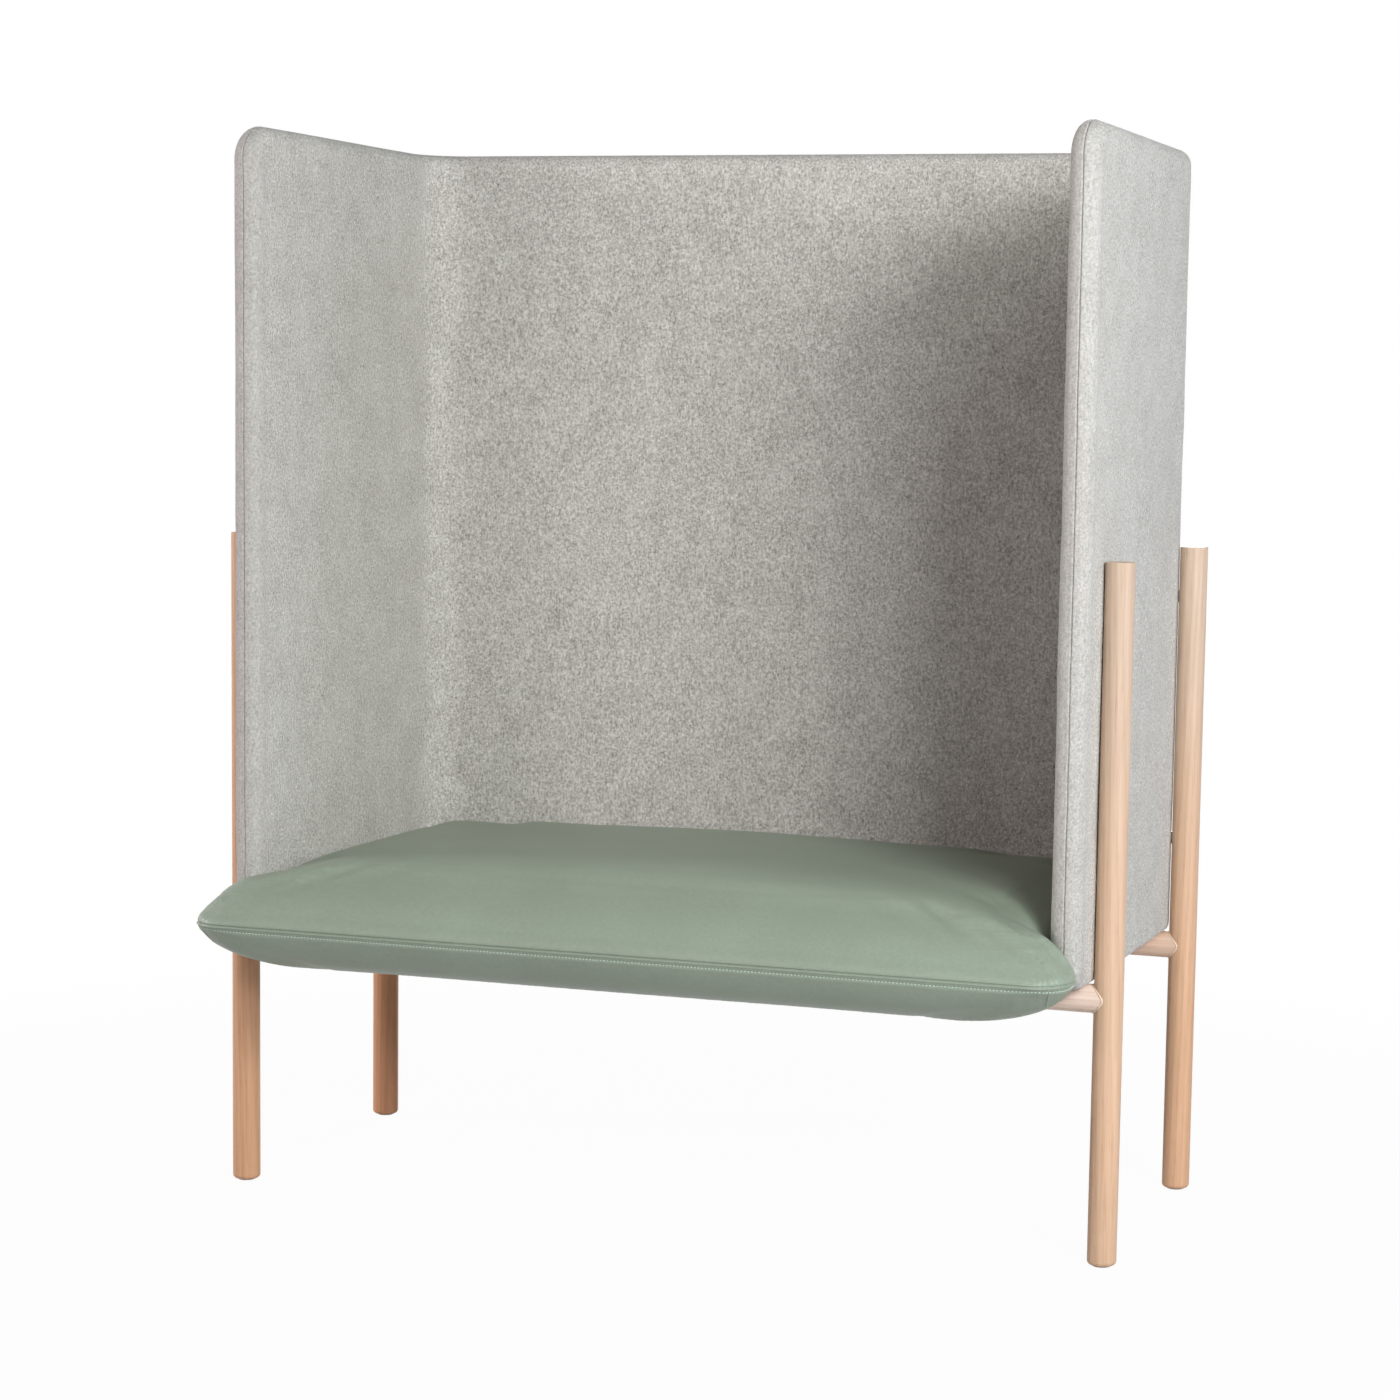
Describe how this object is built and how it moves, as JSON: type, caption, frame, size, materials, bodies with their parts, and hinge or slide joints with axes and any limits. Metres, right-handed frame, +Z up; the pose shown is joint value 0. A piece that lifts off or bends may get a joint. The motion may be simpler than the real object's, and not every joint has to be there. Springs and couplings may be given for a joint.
{
  "type": "acoustic high back lounge chair",
  "caption": "High felt screen on three sides of a wide crowned leather seat, standing on round oak legs joined by round crossbars.",
  "frame": {"origin": "on the floor, under the middle of the whole: half way across, and half way between the seat's nose and the back of the screen", "axes": "+X to the right of someone who looks at the front, +Y to the back, +Z up"},
  "size_m": [1.196, 0.684, 1.37],
  "materials": {
    "oak": "satin",
    "felt": "matte",
    "leather": "satin",
    "boards": "matte",
    "foam": "matte",
    "dust_cloth": "matte",
    "glides": "satin",
    "saddles": "satin",
    "steel": "satin",
    "inserts": "satin"
  },
  "bodies": {
    "root": {"leg_front_left": "oak", "leg_front_right": "oak", "leg_rear_left": "oak", "leg_rear_right": "oak", "crossbar_front": "oak", "crossbar_rear": "oak", "foot_glides": "glides", "leg_inserts": "inserts", "leg_bolts": "steel", "leg_spacers": "steel", "side_board_left": "boards", "side_board_right": "boards", "back_board": "boards", "corner_post_left": "boards", "corner_post_right": "boards", "board_dowels": "boards", "foam_side_left": "foam", "foam_side_right": "foam", "foam_back": "foam", "foam_corner_left": "foam", "foam_corner_right": "foam", "felt_cover_outer": "felt", "felt_cover_inner": "felt", "seat_board": "boards", "seat_foam": "foam", "seat_cover_top": "leather", "seat_cover_bottom": "leather", "dust_cover": "dust_cloth", "bar_saddles": "saddles", "seat_bolts": "steel", "seat_nuts": "steel"}
  },
  "joints": []
}
